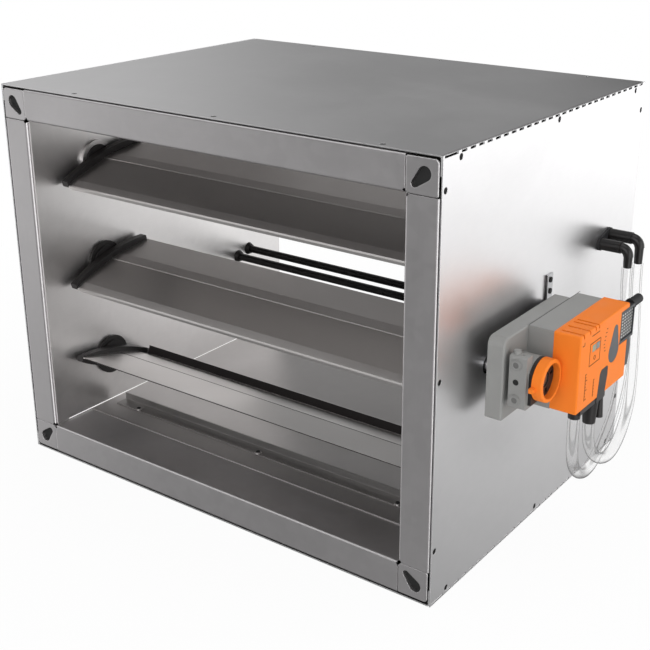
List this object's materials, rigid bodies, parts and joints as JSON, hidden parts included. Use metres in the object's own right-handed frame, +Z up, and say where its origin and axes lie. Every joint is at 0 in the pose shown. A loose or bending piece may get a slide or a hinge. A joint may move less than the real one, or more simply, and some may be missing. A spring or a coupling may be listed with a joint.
{
  "type": "variable air volume box",
  "caption": "Rectangular insulated air duct box with flanged ends, gear-linked damper blades, pressure probe rods and a side actuator with clear hoses.",
  "frame": {"origin": "centre of the casing's underside, on the plane that the box stands on", "axes": "+X across the duct towards the actuator, +Y along the air flow from the front flange to the rear flange, +Z up"},
  "size_m": [0.5282, 0.35, 0.36],
  "materials": {
    "flange_steel": "galvanised, slightly mottled",
    "duct_steel": "galvanised sheet",
    "jacket_steel": "galvanised sheet, smooth",
    "screw_steel": "zinc plated",
    "rivet_black": "black",
    "mineral_wool": "loose mineral fibre",
    "blade_aluminium": "extruded, satin",
    "black_plastic": "moulded, satin black",
    "gear_plastic": "moulded, dark grey",
    "bush_plastic": "moulded, black",
    "shaft_steel": "turned steel",
    "rod_black": "black anodised tube",
    "black_rubber": "soft black",
    "grey_housing": "fine texture, mid grey",
    "orange_housing": "satin orange",
    "slate_window": "dark slate",
    "pale_window": "pale green",
    "grey_button": "grey",
    "clear_hose": "clear soft tube",
    "bracket_steel": "galvanised strip"
  },
  "bodies": {
    "casing": {"actuator_base": "grey_housing", "actuator_body": "grey_housing", "actuator_cover": "orange_housing", "bearing_plate": "black_plastic", "blade_stops": "duct_steel", "bracket_screws": "screw_steel", "cable_gland": "black_rubber", "clamp_screw": "screw_steel", "cover_window": "slate_window", "duct_floor": "duct_steel", "duct_roof": "duct_steel", "duct_side_left": "duct_steel", "duct_side_right": "duct_steel", "front_flange_corner_pieces": "flange_steel", "front_flange_rails": "flange_steel", "front_flange_stiles": "flange_steel", "front_hose": "clear_hose", "hose_ports": "black_plastic", "idler_pins": "screw_steel", "insulation_slabs": "mineral_wool", "jacket_bottom": "jacket_steel", "jacket_left": "jacket_steel", "jacket_right": "jacket_steel", "jacket_rivets": "rivet_black", "jacket_top": "jacket_steel", "lower_probe_rods": "rod_black", "probe_sockets": "black_plastic", "rear_flange_corner_pieces": "flange_steel", "rear_flange_rails": "flange_steel", "rear_flange_stiles": "flange_steel", "rear_hose": "clear_hose", "riser_tubes": "black_plastic", "service_socket": "black_plastic", "shaft_bushes": "bush_plastic", "status_window": "pale_window", "stop_screws": "screw_steel", "torque_bracket": "bracket_steel", "tube_elbows": "black_plastic", "tube_grommet": "black_rubber", "upper_probe_rods": "rod_black"},
    "middle_damper": {"middle_blade": "blade_aluminium", "middle_blade_left_cap": "black_plastic", "middle_blade_right_cap": "black_plastic", "middle_gear": "gear_plastic", "drive_shaft": "shaft_steel", "shaft_clamp": "black_plastic", "position_ring": "orange_housing"},
    "upper_damper": {"upper_blade": "blade_aluminium", "upper_blade_left_cap": "black_plastic", "upper_blade_right_cap": "black_plastic", "upper_gear": "gear_plastic"},
    "lower_damper": {"lower_blade": "blade_aluminium", "lower_blade_left_cap": "black_plastic", "lower_blade_right_cap": "black_plastic", "lower_gear": "gear_plastic"},
    "upper_idler_wheel": {"upper_idler": "gear_plastic"},
    "lower_idler_wheel_a": {"lower_idler_a": "gear_plastic"},
    "lower_idler_wheel_b": {"lower_idler_b": "gear_plastic"},
    "button": {"release_button": "grey_button"}
  },
  "joints": [
    {"name": "damper_drive", "type": "hinge", "parent": "casing", "child": "middle_damper", "pos_m": [0, -0.098, 0.18], "axis": [1, 0, 0], "range_deg": [-15, 67]},
    {"name": "upper_damper_turn", "type": "hinge", "parent": "casing", "child": "upper_damper", "pos_m": [0, -0.098, 0.28], "axis": [1, 0, 0], "range_deg": [-15, 67]},
    {"name": "lower_damper_turn", "type": "hinge", "parent": "casing", "child": "lower_damper", "pos_m": [0, -0.098, 0.08], "axis": [1, 0, 0], "range_deg": [-67, 15]},
    {"name": "upper_idler_turn", "type": "hinge", "parent": "casing", "child": "upper_idler_wheel", "pos_m": [0, -0.098, 0.23], "axis": [1, 0, 0], "range_deg": [-67, 15]},
    {"name": "lower_idler_a_turn", "type": "hinge", "parent": "casing", "child": "lower_idler_wheel_a", "pos_m": [0, -0.098, 0.1425], "axis": [1, 0, 0], "range_deg": [-134, 30]},
    {"name": "lower_idler_b_turn", "type": "hinge", "parent": "casing", "child": "lower_idler_wheel_b", "pos_m": [0, -0.098, 0.1175], "axis": [1, 0, 0], "range_deg": [-30, 134]},
    {"name": "release_press", "type": "slide", "parent": "casing", "child": "button", "axis": [-1, 0, 0], "range_m": [0, 0.0015], "stiffness_N_per_m": 300, "springref_m": -0.001}
  ],
  "couplings": [
    {"joint": "upper_damper_turn", "follows": "damper_drive", "ratio": 1},
    {"joint": "lower_damper_turn", "follows": "damper_drive", "ratio": -1},
    {"joint": "upper_idler_turn", "follows": "damper_drive", "ratio": -1},
    {"joint": "lower_idler_a_turn", "follows": "damper_drive", "ratio": -2},
    {"joint": "lower_idler_b_turn", "follows": "damper_drive", "ratio": 2}
  ]
}
